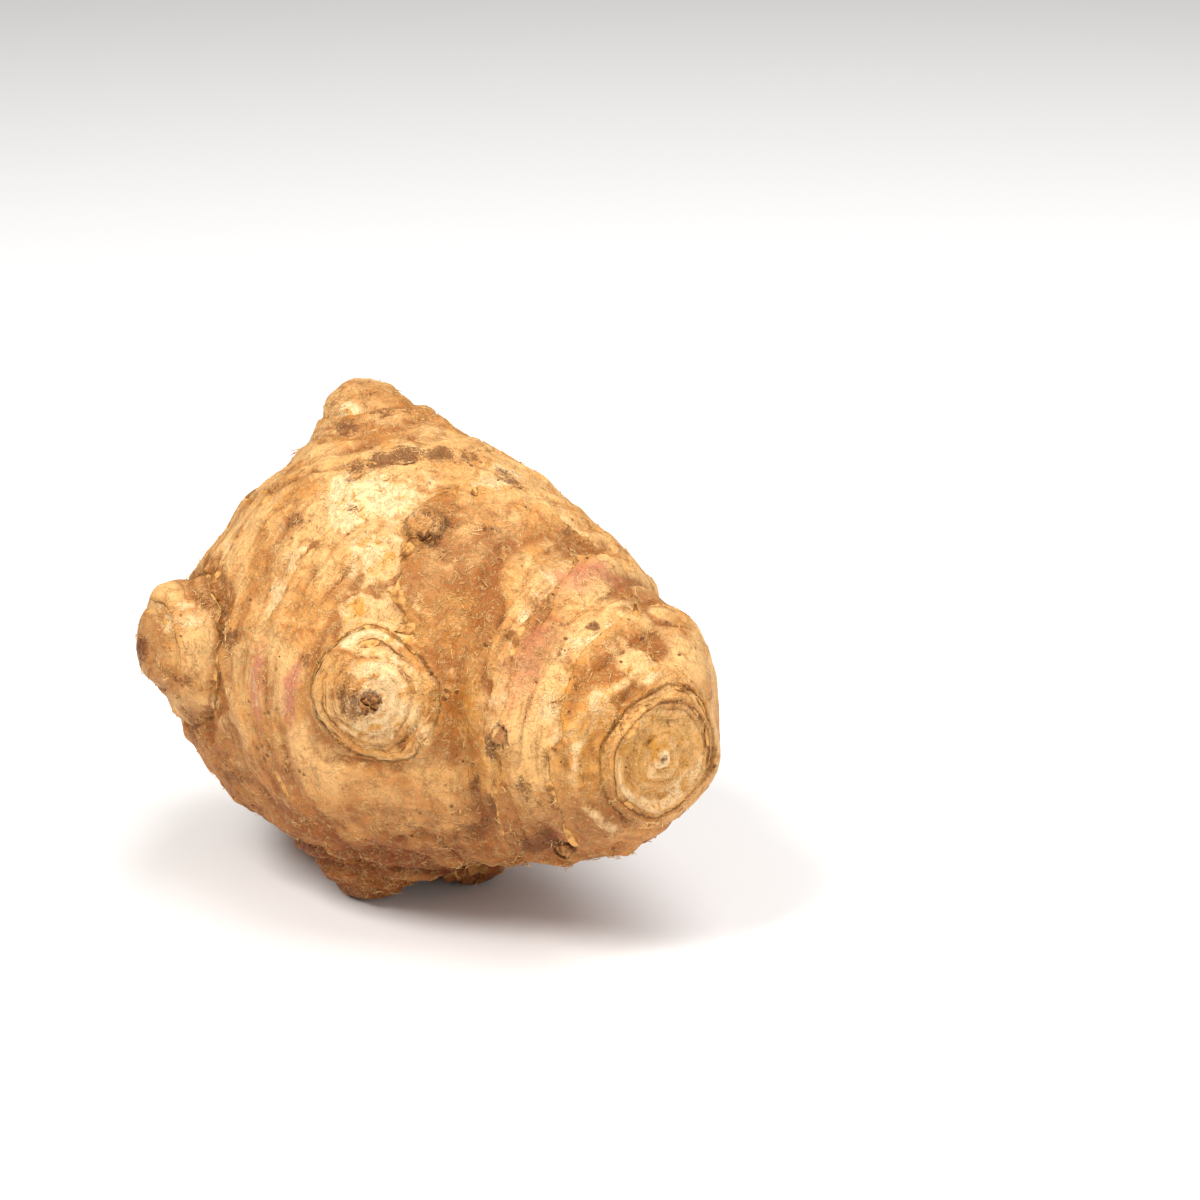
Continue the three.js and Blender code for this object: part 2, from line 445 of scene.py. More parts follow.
def add_buds(relief):
    """Mounds with rings of scales round them, and dark points."""
    points = relief.points
    uneven = 1 + 0.09 * fractal(points, 6.0, 31)
    for bud in BUDS + SHOULDERS:
        away = skin_distance(points, bud.centre)
        relief.height += bud.swell * bell(away, bud.spread)
        if bud.tip:
            ragged_tip = away + 0.5 * relief.wander
            relief.dark += bud.tip_dark * (1 - smoothstep(bud.tip * 0.5, bud.tip * 1.3, ragged_tip))
        if not bud.rings:
            continue
        away = away * uneven
        relief.terraces(away, bud.rings, bud.lift * 0.8)
        relief.height += 0.35 * noise(points, 0.9, 33) * bell(away, max(bud.tip, 0.6))
        for radius in bud.rings:
            patchy = np.clip(0.8 + 0.6 * fractal(points, 3.0 + radius / 3, 32), 0, 1)
            strength = patchy * (0.3 + 0.7 * smoothstep(3.5, 7.0, radius)) * min(1, bud.lift / 0.38)
            relief.edge(away - radius, bud.lift, 1.0, strength, 0.5, 0.6 if radius > 5 else 0.1)
        inside = away < max(bud.rings)
        relief.flow = np.where(inside, away + 60, relief.flow)
        relief.inside_bud |= inside


def add_runner_scar(relief):
    """The round, slightly sunken scar with its growth rings, raised lip, collar and crest."""
    points = relief.points
    away = skin_distance(points, RUNNER_SCAR)
    away = away * (1 + 0.07 * fractal(points, 6.0, 41))
    disc = 1 - smoothstep(SCAR_LIP - 1.6, SCAR_LIP, away)
    lumps = fractal(points, 2.8, 42, 2)
    relief.height += disc * (0.50 * lumps - 0.6)
    relief.cavity += disc * 0.8 * lumps
    # The raised lip and the crest get painted highlight through their cavity.
    lip = bell(away - SCAR_LIP - 0.6, 0.6)
    relief.height += 0.85 * lip
    relief.cavity += 1.2 * lip
    relief.terraces(away, SCAR_RINGS, 0.50)
    for radius in SCAR_RINGS:
        relief.edge(away - radius, 0.16, 0.8, 0.45, 0.25)
    relief.edge(away - SCAR_LIP - 0.4, 0.2, 0.8, 0.8, 0.25)
    above = smoothstep(-4, 3, points[:, 2] - MIDDLE_Z)
    relief.edge(away - SCAR_COLLAR, 0.34, 1.2, 0.35 + 0.45 * above, 0.5)
    front = (1 - smoothstep(-6, 3, points[:, 1])) * smoothstep(18, 24, points[:, 2])
    relief.crest = front * bell(away - SCAR_CREST + relief.wander, 0.9)
    relief.height += 0.9 * relief.crest
    relief.cavity += 1.2 * relief.crest
    relief.dark += 0.65 * (1 - smoothstep(0.3, 1.3, away))
    relief.flow = np.where(away < SCAR_COLLAR, away - 40, relief.flow)
    relief.inside_bud |= away < SCAR_COLLAR
    return 1 - smoothstep(SCAR_LIP - 0.8, SCAR_LIP + 0.2, away)


def add_folds(relief):
    """The folds and narrow creases that run round the stem and round each bud."""
    x, y, z = relief.points.T
    place = np.stack([relief.flow, y, z], 1)
    broad = fractal(place, (4.2, 14, 14), 71, 2)
    fine = fractal(place, (1.4, 7, 7), 72, 2)
    low = 1 - smoothstep(12, 26, z)
    deep = np.clip(0.4 + 0.6 * relief.patchy + 0.4 * smoothstep(4, 22, x) + 0.6 * low, 0, 1.3)
    creases = bell(noise(place, (3.4, 12, 12), 73), 0.10) * deep
    knobbly = low * fractal(relief.points, 3.4, 74, 2) * smoothstep(2, 7, z)
    deep = deep + 0.6 * smoothstep(20, 27, x)
    relief.height += 0.50 * broad * (0.4 + 0.7 * deep) + 0.14 * fine - 0.40 * creases + 0.75 * knobbly
    # Cavity paints highlight on the folds' crests and shade in their creases, and dark adds painted shade
    # along the creases.
    relief.cavity += 0.9 * broad * (0.4 + 0.7 * deep) + 0.35 * fine - 0.9 * creases + 0.7 * knobbly
    relief.dark += 0.35 * creases * np.clip(fine + 0.6, 0, 1)
    relief.creases = creases


def add_necks(relief):
    """The furrow round the foot of each knob and mound."""
    for centre, radius, width, depth in NECKS:
        away = skin_distance(relief.points, centre)
        furrow = bell(away - radius + relief.wander, width) * np.clip(0.8 + relief.torn, 0.2, 1.3)
        # The furrow's cavity turns into painted shade.
        relief.height -= depth * furrow
        relief.cavity -= 1.3 * depth * furrow


def add_groove(relief):
    """The furrow between the front bud's mound and the runner end, deepest at the middle."""
    x, y, z = relief.points.T
    rise = z - GROOVE_Z
    across = x - GROOVE_X + 0.25 * rise + 0.01 * rise ** 2 + 0.6 * relief.wander
    along = smoothstep(14, 24, z) * (1 - smoothstep(44, 52, z)) * (1 - smoothstep(-12, -6, y))
    relief.height -= along * (1.5 * bell(across, 2.2) + 0.5 * bell(across, 0.6))
    relief.cavity -= along * bell(across, 2.0)
    # Painted shade: a dark line along the bottom of the furrow.
    relief.dark += 0.55 * along * bell(across, 0.4) * np.clip(0.9 + relief.torn, 0, 1)


def patches(points, places, seed):
    """How strongly a list of ragged patches covers each point, which is 0 outside them."""
    cover = np.zeros(len(points))
    ragged = 0.34 * fractal(points, 4.5, seed) + 0.10 * fractal(points, 1.4, seed + 1)
    for place in places:
        away = np.linalg.norm((points - np.array(place.centre)) / np.array(place.reach), axis=1)
        cover = np.maximum(cover, place.strength * (1 - smoothstep(0.2, 1.2, away + ragged)))
    return cover


def skin_lumps(points):
    """The uneven growth of the flesh and the fine wrinkles of the drying skin."""
    lumps = 0.65 * fractal(points, 15.0, 51) + 0.26 * fractal(points, 5.5, 52, 2)
    return lumps + 0.03 * fractal(points, 1.2, 54, 2)


def write_attribute(mesh, name, values):
    attribute = mesh.attributes.new(name, "FLOAT", "POINT")
    attribute.data.foreach_set("value", np.asarray(values, np.float32))


# ---------------------------------------------------------------- node helpers

def add_node(tree, kind, inputs=(), **settings):
    """Adds a node with its settings, and sets or links its inputs."""
    made = tree.nodes.new(kind)
    for name, value in settings.items():
        setattr(made, name, value)
    for socket, value in dict(inputs).items():
        if isinstance(value, bpy.types.NodeSocket):
            tree.links.new(value, made.inputs[socket])
        else:
            made.inputs[socket].default_value = value
    return made


def maths(tree, operation, a, b=0.0, c=0.0, clamp=False):
    """One step of arithmetic on numbers or sockets."""
    inputs = {0: a, 1: b, 2: c}
    return add_node(tree, "ShaderNodeMath", inputs, operation=operation, use_clamp=clamp).outputs[0]


def vectors(tree, operation, a, b):
    """Vector maths. b is a vector, or a number for SCALE."""
    inputs = {0: a, "Scale" if operation == "SCALE" else 1: b}
    return add_node(tree, "ShaderNodeVectorMath", inputs, operation=operation).outputs[0]


def scaled(tree, value, factor):
    return maths(tree, "MULTIPLY", value, factor)


def ramp(tree, value, slope, base, clamp=False):
    """The value times the slope, plus the base."""
    return maths(tree, "MULTIPLY_ADD", value, slope, base, clamp)


def opaque(colour):
    return (*colour[:], 1)


def blend(tree, factor, a, b, mode="MIX"):
    """Mixes two colours."""
    settings = {"data_type": "RGBA", "blend_type": mode, "clamp_factor": True}
    return add_node(tree, "ShaderNodeMix", {0: factor, 6: a, 7: b}, **settings).outputs[2]


def layered(tree, colour, layers):
    """Lays tints over a colour one after another: where each covers it, how strongly, and the tint."""
    for cover, strength, tone in layers:
        colour = blend(tree, scaled(tree, cover, strength), colour, tone)
    return colour


def band(tree, value, low, high):
    """0 below low, 1 above high, with a soft rise; high may be below low."""
    inputs = {"Value": value, "From Min": low, "From Max": high}
    settings = {"interpolation_type": "SMOOTHSTEP", "clamp": True}
    return add_node(tree, "ShaderNodeMapRange", inputs, **settings).outputs[0]


def cloud(tree, place, per_mm, detail=2.0, rough=0.5, distortion=0.0):
    """A noise texture on a position in mm."""
    inputs = {
        "Vector": place, "Scale": per_mm, "Detail": detail, "Roughness": rough,
        "Distortion": distortion,
    }
    return add_node(tree, "ShaderNodeTexNoise", inputs).outputs[0]


def position_mm(tree):
    """The place on the piece, in mm."""
    coordinates = add_node(tree, "ShaderNodeTexCoord").outputs["Object"]
    return vectors(tree, "SCALE", coordinates, 1 / MM)


def attribute(tree, name):
    made = add_node(tree, "ShaderNodeAttribute", attribute_name=name, attribute_type="GEOMETRY")
    return made.outputs["Fac"]


def new_group(name, inputs, outputs):
    """An empty shader group with named float, vector or colour sockets."""
    kinds = {"float": "NodeSocketFloat", "vector": "NodeSocketVector", "colour": "NodeSocketColor"}
    group = bpy.data.node_groups.new(name, "ShaderNodeTree")
    for label, kind, default in inputs:
        socket = group.interface.new_socket(label, in_out="INPUT", socket_type=kinds[kind])
        if default is not None:
            socket.default_value = default
    for label, kind in outputs:
        group.interface.new_socket(label, in_out="OUTPUT", socket_type=kinds[kind])
    start = group.nodes.new("NodeGroupInput")
    end = group.nodes.new("NodeGroupOutput")
    return group, start.outputs, end.inputs


def use_group(tree, group, inputs):
    return add_node(tree, "ShaderNodeGroup", inputs, node_tree=group).outputs


def fibre_group():
    """Short curly fibres: thin contour lines of a twisted noise, kept only here and there."""
    sockets = [("Place", "vector", None), ("Per mm", "float", 1.1), ("Width", "float", 0.02)]
    group, given, out = new_group("skin_fibres", sockets, [("Fibres", "float")])
    total = None
    for shift in (0.0, 37.0, 71.0):
        moved = vectors(group, "ADD", given[0], (shift, shift, shift))
        lines = cloud(group, moved, given[1], 1.0, 0.4, 2.2)
        off = maths(group, "ABSOLUTE", maths(group, "SUBTRACT", lines, 0.5))
        thin = maths(group, "SUBTRACT", 1.0, maths(group, "DIVIDE", off, given[2]), clamp=True)
        kept = band(group, cloud(group, moved, 0.9, 1.0), 0.50, 0.62)
        piece = scaled(group, thin, kept)
        total = piece if total is None else maths(group, "MAXIMUM", total, piece)
    group.links.new(total, out[0])
    return group


def mottle_group():
    """Uneven skin: broad patches, mottling, fine grain and small dark specks."""
    outputs = [("Broad", "float"), ("Mottle", "float"), ("Grain", "float"), ("Specks", "float")]
    group, given, out = new_group("skin_mottle", [("Place", "vector", None)], outputs)
    place = given[0]
    group.links.new(cloud(group, place, 0.11, 2.0, 0.5, 0.6), out[0])
    group.links.new(cloud(group, place, 0.42, 4.0, 0.62, 0.9), out[1])
    group.links.new(cloud(group, place, 3.2, 3.0, 0.7), out[2])
    inputs = {"Vector": place, "Scale": 0.55, "Randomness": 1.0}
    dots = add_node(group, "ShaderNodeTexVoronoi", inputs)
    uneven = scaled(group, cloud(group, place, 1.6, 2.0), 0.42)
    size = maths(group, "SUBTRACT", dots.outputs["Distance"], uneven)
    speck = band(group, size, 0.0, -0.10)
    sparse = band(group, cloud(group, place, 0.24, 2.0), 0.50, 0.66)
    group.links.new(scaled(group, speck, sparse), out[3])
    return group


def soil_group():
    """Dried soil: a thin film where Amount is high, thinning out into grains."""
    sockets = [("Place", "vector", None), ("Amount", "float", 0.5)]
    group, given, out = new_group("dried_soil", sockets, [("Soil", "float")])
    ragged = cloud(group, given[0], 0.9, 4.0, 0.7)
    grains = cloud(group, given[0], 3.4, 2.0, 0.6)
    level = ramp(group, ragged, 1.7, given[1])
    level = ramp(group, grains, 1.3, level)
    group.links.new(band(group, level, 1.85, 2.45), out[0])
    return group


def group_named(name, maker):
    return bpy.data.node_groups.get(name) or maker()


def new_material(name):
    material = bpy.data.materials.new(name)
    material.use_nodes = True
    tree = material.node_tree
    return material, tree, tree.nodes["Principled BSDF"]


def flow_position(tree, place):
    """Places stretched along the folds, so that a pattern runs round the stem and the buds."""
    parts = add_node(tree, "ShaderNodeSeparateXYZ", {0: place})
    inputs = {
        "X": attribute(tree, "flow"),
        "Y": scaled(tree, parts.outputs["Y"], 0.16),
        "Z": scaled(tree, parts.outputs["Z"], 0.16),
    }
    return add_node(tree, "ShaderNodeCombineXYZ", inputs).outputs[0]


def skin_material(look):
    """Tan papery skin over cream flesh, with fibres, specks, blush and soil, painted shade in hollows,
    creases and low down, and painted highlight on ridges.
    """
    material, tree, shader = new_material("tuber_skin")
    place = position_mm(tree)
    mottle = use_group(tree, group_named("skin_mottle", mottle_group), {"Place": place})
    inputs = {"Place": place, "Per mm": 0.7, "Width": 0.09}
    fibres = use_group(tree, group_named("skin_fibres", fibre_group), inputs)["Fibres"]
    inputs = {"Place": place, "Amount": attribute(tree, "soil")}
    soil = use_group(tree, group_named("dried_soil", soil_group), inputs)["Soil"]
    scar = attribute(tree, "scar")
    golden = attribute(tree, "golden")
    streak = cloud(tree, flow_position(tree, place), 0.8, 2.5, 0.5, 0.4)
    plain = scaled(tree, scar, maths(tree, "SUBTRACT", 0.44, streak))
    streak = ramp(tree, plain, 0.85, streak)
    straw, umber = opaque(look.straw), opaque(look.umber)
    cream, honey, crevice = opaque(look.cream), opaque(look.honey), opaque(look.crevice)

    wander = ramp(tree, cloud(tree, place, 1.6, 2.0, 0.55), 0.34, -0.17)
    gap = maths(tree, "ADD", attribute(tree, "gap"), wander)
    near = attribute(tree, "near")
    covered = band(tree, gap, -0.05, 0.05)
    under_skin = scaled(tree, near, covered)
    beyond_edge = scaled(tree, near, maths(tree, "SUBTRACT", 1.0, covered))
    crisp = attribute(tree, "crisp")
    valley = scaled(tree, near, band(tree, maths(tree, "ABSOLUTE", gap), 0.8, 0.0))
    valley = scaled(tree, valley, crisp)

    # Painted light from the relief: highlight where the cavity is high and shade where it is low.
    cavity = attribute(tree, "cavity")
    ridge_highlight = band(tree, cavity, 0.05, 0.75)
    hollow_shade = band(tree, cavity, 0.15, -1.1)
    hollow_shade = scaled(tree, hollow_shade, ramp(tree, golden, -0.6, 1.0))
    skin = blend(tree, band(tree, mottle["Broad"], 0.40, 0.60), opaque(look.tan), straw)
    skin = layered(tree, skin, (
        (golden, 0.7, honey),
        (beyond_edge, 0.55, straw),
        # Painted highlight on the ridges, then painted shade in the hollows.
        (ridge_highlight, 0.55, straw),
        (hollow_shade, 0.9, umber),
        (band(tree, mottle["Mottle"], 0.46, 0.74), 0.7, umber),
        (band(tree, mottle["Mottle"], 0.46, 0.32), 0.5, straw),
        (band(tree, streak, 0.50, 0.74), 0.45, umber),
        # Weathered brown skin, with painted shade over the lower skin.
        (attribute(tree, "weathered_and_shaded"), 0.75, umber),
        (under_skin, 0.15, opaque(look.rust)),
        (attribute(tree, "blush"), 0.85, opaque(look.blush)),
    ))

    sheathed = scaled(tree, under_skin, maths(tree, "SUBTRACT", 1.0, crisp))
    uncovered = ramp(tree, sheathed, -1.1, 1.0)
    bare = scaled(tree, attribute(tree, "bare"), uncovered)
    bare = maths(tree, "MAXIMUM", bare, scar)
    bare = maths(tree, "MAXIMUM", bare, scaled(tree, beyond_edge, 0.5))
    ragged = ramp(tree, cloud(tree, place, 0.45, 3.0, 0.5), 1.3, -0.65)
    bare = band(tree, maths(tree, "ADD", bare, ragged), 0.32, 0.72)
    flesh = blend(tree, scaled(tree, band(tree, mottle["Mottle"], 0.50, 0.66), 0.8), cream, honey)
    mellow = scaled(tree, golden, ramp(tree, ridge_highlight, -0.8, 0.7))
    flesh = blend(tree, mellow, flesh, honey)
    flesh = blend(tree, scaled(tree, hollow_shade, 0.45), flesh, honey)
    colour = blend(tree, bare, skin, flesh)
    amber = ramp(tree, scar, 0.5, 0.4)
    colour = blend(tree, scaled(tree, valley, amber), colour, honey)
    colour = blend(tree, scaled(tree, band(tree, valley, 0.40, 0.9), 0.55), colour, umber)

    # Painted shade: the skin darkens towards the bottom, multiplied by the low-shade colour.
    low = band(tree, add_node(tree, "ShaderNodeSeparateXYZ", {0: place}).outputs["Z"], 34, 10)
    colour = blend(tree, scaled(tree, low, 0.8), colour, opaque(look.low_shade), "MULTIPLY")
    fibre_tone = scaled(tree, fibres, ramp(tree, bare, -0.25, 0.34))
    colour = blend(tree, fibre_tone, colour, opaque(look.fibre))
    specks = scaled(tree, mottle["Specks"], 0.8)
    colour = layered(tree, colour, (
        (band(tree, mottle["Grain"], 0.52, 0.70), 0.3, umber),
        (band(tree, mottle["Grain"], 0.46, 0.32), 0.12, cream),
        (soil, 0.8, opaque(look.soil)),
        (specks, 1.0, crevice),
    ))

    # A dark line just outside each free edge: painted shadow under the lifted skin, with some soil in it.
    line = scaled(tree, band(tree, gap, -0.22, -0.08), band(tree, gap, 0.06, -0.03))
    gaps = ramp(tree, cloud(tree, place, 0.28, 2.0), 3.6, -1.9)
    broken = scaled(tree, near, maths(tree, "ADD", gaps, crisp))
    line = scaled(tree, line, band(tree, broken, 0.25, 0.85))
    crack = band(tree, streak, 0.33, 0.27)
    # The dark points of the buds and the scar, with painted shade along the creases and the bottom of the
    # furrow.
    ragged_dark = ramp(tree, cloud(tree, place, 1.3, 3.0, 0.6), 1.5, -0.75)
    dark_points_and_crease_shade = band(tree, maths(tree, "ADD", attribute(tree, "dark"), ragged_dark), 0.30, 1.0)
    line = scaled(tree, line, ramp(tree, scar, -0.6, 0.7))
    dark = maths(tree, "MAXIMUM", line, scaled(tree, crack, 0.3))
    dark = maths(tree, "MAXIMUM", dark, scaled(tree, dark_points_and_crease_shade, 0.8))
    colour = blend(tree, dark, colour, crevice)
    tree.links.new(colour, shader.inputs["Base Color"])

    rough = ramp(tree, bare, -0.26, 0.60)
    rough = ramp(tree, golden, -0.10, rough)
    rough = ramp(tree, soil, 0.25, rough, clamp=True)
    tree.links.new(rough, shader.inputs["Roughness"])
    shader.inputs["Specular IOR Level"].default_value = 0.20
    shader.inputs["Subsurface Weight"].default_value = 0.22
    shader.inputs["Subsurface Radius"].default_value = (1.0, 0.45, 0.15)
    shader.inputs["Subsurface Scale"].default_value = 1.2 * MM

    relief = scaled(tree, fibres, 0.15)
    for value, height in (
        (mottle["Grain"], 0.10), (mottle["Mottle"], 0.22), (streak, 0.28), (under_skin, 0.20),
        (line, -0.10), (specks, -0.10), (soil, 0.06), (crack, -0.12), (dark_points_and_crease_shade, -0.06),
    ):
        relief = ramp(tree, value, height, relief)
    bump = add_node(tree, "ShaderNodeBump", {"Height": relief, "Strength": 1.0, "Distance": MM})
    tree.links.new(bump.outputs[0], shader.inputs["Normal"])
    return material


def small_material(name, colour, other, per_mm, rough):
    """A small dry piece in two tones, mottled as the skin is."""
    material, tree, shader = new_material(name)
    place = position_mm(tree)
    mottle = use_group(tree, group_named("skin_mottle", mottle_group), {"Place": place})
    fleck = scaled(tree, cloud(tree, place, per_mm), 0.4)
    tone = band(tree, ramp(tree, mottle["Mottle"], 0.6, fleck), 0.42, 0.60)
    mixed = blend(tree, tone, opaque(colour), opaque(other))
    tree.links.new(mixed, shader.inputs["Base Color"])
    shader.inputs["Roughness"].default_value = rough
    shader.inputs["Specular IOR Level"].default_value = 0.2
    inputs = {"Height": mottle["Grain"], "Strength": 0.6, "Distance": 0.1 * MM}
    bump = add_node(tree, "ShaderNodeBump", inputs)
    tree.links.new(bump.outputs[0], shader.inputs["Normal"])
    return material


# ---------------------------------------------------------------- Geometry Nodes

def geometry_tree(name, inputs):
    """An empty Geometry Nodes tree with named inputs for its sizes and its seed."""
    tree = bpy.data.node_groups.new(name, "GeometryNodeTree")
    tree.interface.new_socket("Geometry", in_out="INPUT", socket_type="NodeSocketGeometry")
    for label, kind, default in inputs:
        socket = tree.interface.new_socket(label, in_out="INPUT", socket_type=kind)
        socket.default_value = default
    tree.interface.new_socket("Geometry", in_out="OUTPUT", socket_type="NodeSocketGeometry")
    given = tree.nodes.new("NodeGroupInput").outputs
    result = tree.nodes.new("NodeGroupOutput").inputs
    return tree, given, result


def end_tree(tree, geometry, result, material):
    """Ends a tree in real geometry with its material, and gives back the tree."""
    real = add_node(tree, "GeometryNodeRealizeInstances", {"Geometry": geometry}).outputs[0]
    done = add_node(tree, "GeometryNodeSetMaterial", {"Geometry": real, "Material": material}).outputs[0]
    tree.links.new(done, result[0])
    return tree


def named_value(tree, name, kind="FLOAT"):
    made = add_node(tree, "GeometryNodeInputNamedAttribute", data_type=kind)
    made.inputs["Name"].default_value = name
    return next(output for output in made.outputs if output.enabled)


def random_value(tree, low, high, seed):
    made = add_node(tree, "FunctionNodeRandomValue", data_type="FLOAT")
    sockets = [socket for socket in made.inputs if socket.enabled and socket.name in ("Min", "Max")]
    sockets[0].default_value = low
    sockets[1].default_value = high
    tree.links.new(seed, made.inputs["Seed"])
    return next(output for output in made.outputs if output.enabled)


def moved_by(tree, geometry, offset):
    inputs = {"Geometry": geometry, "Offset": offset}
    return add_node(tree, "GeometryNodeSetPosition", inputs).outputs[0]


def scattered(tree, surface, shapes, amount, density, seed, scale, sink):
    """Copies of the shapes over a surface, standing on it and turned at random."""
    inputs = {"Mesh": surface, "Density": scaled(tree, density, amount), "Seed": seed}
    spread = add_node(tree, "GeometryNodeDistributePointsOnFaces", inputs)
    turn = random_value(tree, 0, 2 * math.pi, seed)
    turn = add_node(tree, "ShaderNodeCombineXYZ", {"Z": turn}).outputs[0]
    inputs = {0: spread.outputs["Rotation"], 1: turn}
    spin = add_node(tree, "FunctionNodeRotateRotation", inputs, rotation_space="LOCAL").outputs[0]
    lowered = vectors(tree, "SCALE", spread.outputs["Normal"], -sink)
    points = moved_by(tree, spread.outputs["Points"], lowered)
    pool = add_node(tree, "GeometryNodeGeometryToInstance")
    for shape in shapes:
        tree.links.new(shape, pool.inputs[0])
    inputs = {
        "Points": points, "Instance": pool.outputs[0], "Pick Instance": True, "Rotation": spin,
        "Scale": scale,
    }
    return add_node(tree, "GeometryNodeInstanceOnPoints", inputs).outputs[0]


def wander_noise(tree, shift, per_unit):
    """Noise as a vector about zero. The shift makes it differ from one shape to the next."""
    place = add_node(tree, "GeometryNodeInputPosition").outputs[0]
    moved = vectors(tree, "ADD", place, (shift, 0, 0))
    inputs = {"Vector": moved, "Scale": per_unit, "Detail": 1.0}
    wave = add_node(tree, "ShaderNodeTexNoise", inputs).outputs["Color"]
    return vectors(tree, "SUBTRACT", wave, (0.5, 0.5, 0.5))


def fibre_tree(material, look):
    """Short dry root fibres that lie curled on the skin."""
    inputs = [
        ("Length", "NodeSocketFloat", look.length),
        ("Thickness", "NodeSocketFloat", look.thickness),
        ("Per square metre", "NodeSocketFloat", look.amount),
        ("Seed", "NodeSocketInt", 5),
    ]
    tree, given, result = geometry_tree("root_fibres", inputs)
    length = given["Length"]
    shapes = []
    for turn in range(5):
        line = add_node(tree, "GeometryNodeCurvePrimitiveLine", {"End": (1.0, 0.0, 0.0)}).outputs[0]
        curve = add_node(tree, "GeometryNodeResampleCurve", {"Curve": line, "Count": 7}).outputs[0]
        wave = vectors(tree, "MULTIPLY", wander_noise(tree, turn * 3.7, 2.4), (1.2, 2.4, 0.10))
        bent = moved_by(tree, curve, wave)
        size = add_node(tree, "ShaderNodeCombineXYZ", {0: length, 1: length, 2: length}).outputs[0]
        real = add_node(tree, "GeometryNodeTransform", {"Geometry": bent, "Scale": size}).outputs[0]
        inputs = {"Resolution": 3, "Radius": given["Thickness"]}
        ring = add_node(tree, "GeometryNodeCurvePrimitiveCircle", inputs).outputs[0]
        inputs = {"Curve": real, "Profile Curve": ring, "Fill Caps": True}
        shapes.append(add_node(tree, "GeometryNodeCurveToMesh", inputs).outputs[0])
    grown = scattered(
        tree, given["Geometry"], shapes, given["Per square metre"], named_value(tree, "hairy"),
        given["Seed"], random_value(tree, 0.45, 1.3, given["Seed"]), 0.02 * MM,
    )
    return end_tree(tree, grown, result, material)


def crumb_tree(material, look):
    """Grains of dried soil caught in the creases and on the dirty patches."""
    inputs = [
        ("Size", "NodeSocketFloat", look.crumb),
        ("Per square metre", "NodeSocketFloat", look.crumbs),
        ("Seed", "NodeSocketInt", 9),
    ]
    tree, given, result = geometry_tree("soil_crumbs", inputs)
    shapes = []
    for turn in range(3):
        inputs = {"Radius": given["Size"], "Subdivisions": 1}
        ball = add_node(tree, "GeometryNodeMeshIcoSphere", inputs).outputs[0]
        rough = vectors(tree, "SCALE", wander_noise(tree, turn * 0.01, 4000.0), given["Size"])
        shapes.append(moved_by(tree, ball, vectors(tree, "SCALE", rough, 2.4)))
    size = maths(tree, "POWER", random_value(tree, 0.35, 1.0, given["Seed"]), 2.0)
    grown = scattered(
        tree, given["Geometry"], shapes, given["Per square metre"], named_value(tree, "crumbs"),
        given["Seed"], size, 0.0,
    )
    return end_tree(tree, grown, result, material)


def tatter_tree(material, look):
    """Thin curled lips of torn skin along the free edges."""
    inputs = [
        ("Reach", "NodeSocketFloat", look.reach),
        ("Curl", "NodeSocketFloat", look.curl),
        ("Thickness", "NodeSocketFloat", look.sheet),
    ]
    tree, given, result = geometry_tree("papery_tatters", inputs)
    edges = given["Geometry"]
    size = named_value(tree, "size")
    outward = named_value(tree, "outward", "FLOAT_VECTOR")
    upward = named_value(tree, "upward", "FLOAT_VECTOR")
    reach = scaled(tree, size, given["Reach"])
    lift = scaled(tree, size, given["Curl"])
    last = None
    for along, over in ((0.45, 0.10), (0.40, 0.45), (0.15, 0.55)):
        out_step = vectors(tree, "SCALE", vectors(tree, "SCALE", outward, along), reach)
        up_step = vectors(tree, "SCALE", vectors(tree, "SCALE", upward, over), lift)
        inputs = {"Mesh": edges, "Offset": vectors(tree, "ADD", out_step, up_step)}
        if last:
            inputs["Selection"] = last
        strip = add_node(tree, "GeometryNodeExtrudeMesh", inputs, mode="EDGES")
        last = strip.outputs["Top"]
        edges = strip.outputs["Mesh"]
    inputs = {"Mesh": edges, "Offset Scale": given["Thickness"], "Individual": False}
    sheet = add_node(tree, "GeometryNodeExtrudeMesh", inputs, mode="FACES")
    under = add_node(tree, "GeometryNodeFlipFaces", {"Mesh": edges}).outputs[0]
    joined = add_node(tree, "GeometryNodeJoinGeometry")
    tree.links.new(sheet.outputs["Mesh"], joined.inputs[0])
    tree.links.new(under, joined.inputs[0])
    inputs = {"Geometry": joined.outputs[0], "Distance": 0.002 * MM}
    welded = add_node(tree, "GeometryNodeMergeByDistance", inputs).outputs[0]
    return end_tree(tree, welded, result, material)


# ---------------------------------------------------------------- pieces

def add_piece(context, piece):
    """Puts a finished piece into the scene, on the tuber's one body."""
    context.scene.collection.objects.link(piece)
    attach(piece, "root")


def grown_piece(context, base, tree, name):
    """A plain piece that a tree makes from a base mesh, which isn't kept."""
    shape = bpy.data.objects.new(name + "_base", base)
    context.scene.collection.objects.link(shape)
    modifier = shape.modifiers.new(name, "NODES")
    modifier.node_group = tree
    context.view_layer.update()
    evaluated = shape.evaluated_get(context.evaluated_depsgraph_get())
    mesh = bpy.data.meshes.new_from_object(evaluated)
    bpy.data.objects.remove(shape)
    bpy.data.meshes.remove(base)
    if not mesh.polygons:
        raise RuntimeError(name + " made no faces")
    mesh.name = name
    add_piece(context, bpy.data.objects.new(name, mesh))


def walled_piece(context, mesh, material, thickness):
    """A piece of thin sheets, given a thickness."""
    mesh.materials.append(material)
    mesh.polygons.foreach_set("use_smooth", [True] * len(mesh.polygons))
    piece = bpy.data.objects.new(mesh.name, mesh)
    wall = piece.modifiers.new("wall", "SOLIDIFY")
    wall.thickness = thickness
    wall.offset = 0
    add_piece(context, piece)


